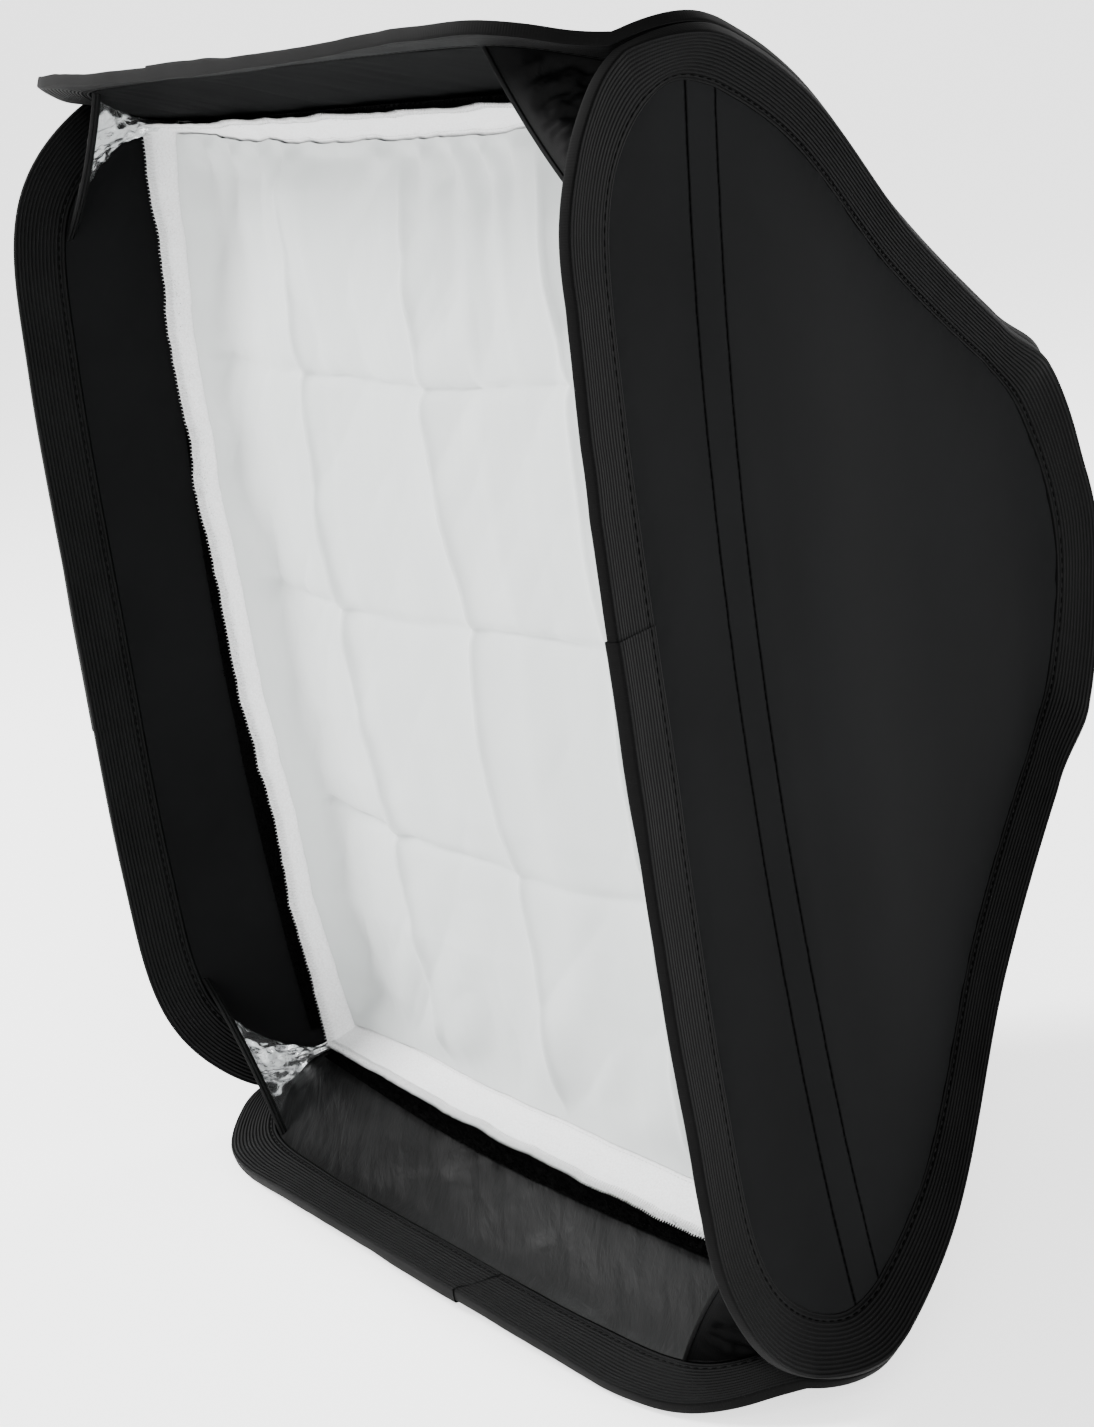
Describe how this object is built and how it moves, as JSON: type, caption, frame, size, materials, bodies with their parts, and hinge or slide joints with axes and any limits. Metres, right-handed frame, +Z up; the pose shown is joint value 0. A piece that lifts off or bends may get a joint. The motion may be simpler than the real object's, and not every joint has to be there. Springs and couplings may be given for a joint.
{
  "type": "collapsible softbox",
  "caption": "Square pop-up softbox: sprung fabric panels sewn into a tapering tube, with a recessed white diffuser held by hook-and-loop tape.",
  "frame": {"origin": "middle of the rear opening, in the plane of the rear edges of the four panels, where the softbox seats on its speed ring", "axes": "-Y is the way the light leaves, +Y points back to the flash head, +Z up, +X right"},
  "size_m": [0.6194, 0.4294, 0.6194],
  "materials": {
    "spring_steel": "blued spring-steel strip",
    "binding_tape": "ribbed woven edge binding, matt black",
    "outer_nylon": "black coated nylon with a soft satin sheen",
    "inner_black_satin": "smooth black satin facing",
    "silver_lining": "metallised silver lining",
    "loop_tape": "black loop tape",
    "hook_tape": "white hook tape with an overlocked edge",
    "gusset_foil": "crinkled silver foil fabric, black outside",
    "diffuser_fabric": "white translucent diffusion cloth with fold creases"
  },
  "bodies": {
    "panel_bottom": {"hoop_bottom": "spring_steel", "binding_bottom": "binding_tape", "skin_bottom": "outer_nylon", "lip_bottom": "inner_black_satin", "lining_bottom": "silver_lining", "loop_tape_bottom": "loop_tape", "gusset_bottom_left": "gusset_foil", "gusset_edge_bottom_left": "binding_tape", "gusset_bottom_right": "gusset_foil", "gusset_edge_bottom_right": "binding_tape"},
    "panel_right": {"hoop_right": "spring_steel", "binding_right": "binding_tape", "skin_right": "outer_nylon", "lip_right": "inner_black_satin", "lining_right": "silver_lining", "loop_tape_right": "loop_tape"},
    "panel_top": {"hoop_top": "spring_steel", "binding_top": "binding_tape", "skin_top": "outer_nylon", "lip_top": "inner_black_satin", "lining_top": "silver_lining", "loop_tape_top": "loop_tape", "gusset_top_left": "gusset_foil", "gusset_edge_top_left": "binding_tape", "gusset_top_right": "gusset_foil", "gusset_edge_top_right": "binding_tape"},
    "panel_left": {"hoop_left": "spring_steel", "binding_left": "binding_tape", "skin_left": "outer_nylon", "lip_left": "inner_black_satin", "lining_left": "silver_lining", "loop_tape_left": "loop_tape"},
    "diffuser": {"diffuser_cloth": "diffuser_fabric", "hook_tape_top": "hook_tape", "hook_tape_right": "hook_tape", "hook_tape_bottom": "hook_tape", "hook_tape_left": "hook_tape"}
  },
  "joints": [
    {"name": "fold", "type": "hinge", "parent": "panel_bottom", "child": "panel_right", "pos_m": [0, 0.07589, 0], "axis": [-0.4934, 0.7163, 0.4934], "range_deg": [0, 24], "stiffness_Nm_per_rad": 8, "springref_deg": -17.19, "deforming": ["hoop_top", "binding_top", "hoop_right", "binding_right", "hoop_bottom", "binding_bottom", "hoop_left", "binding_left", "gusset_top_right", "gusset_edge_top_right", "gusset_bottom_right", "gusset_edge_bottom_right", "gusset_bottom_left", "gusset_edge_bottom_left", "gusset_top_left", "gusset_edge_top_left", "diffuser_cloth", "hook_tape_top", "hook_tape_right", "hook_tape_bottom", "hook_tape_left"]},
    {"name": "fold_top_seam", "type": "hinge", "parent": "panel_right", "child": "panel_top", "pos_m": [0, 0.07589, 0], "axis": [0.4934, -0.7163, 0.4934], "range_deg": [0, 29]},
    {"name": "fold_left_seam", "type": "hinge", "parent": "panel_bottom", "child": "panel_left", "pos_m": [0, 0.07589, 0], "axis": [0.4934, 0.7163, 0.4934], "range_deg": [0, 29]},
    {"name": "diffuser_off", "type": "slide", "parent": "panel_bottom", "child": "diffuser", "axis": [0, -1, 0], "range_m": [0, 0.31]}
  ],
  "couplings": [
    {"joint": "fold_top_seam", "follows": "fold", "ratio": 1.1627},
    {"joint": "fold_left_seam", "follows": "fold", "ratio": 1.1627},
    {"joint": "diffuser_off", "follows": "fold", "m_per_rad": 0.7162}
  ]
}
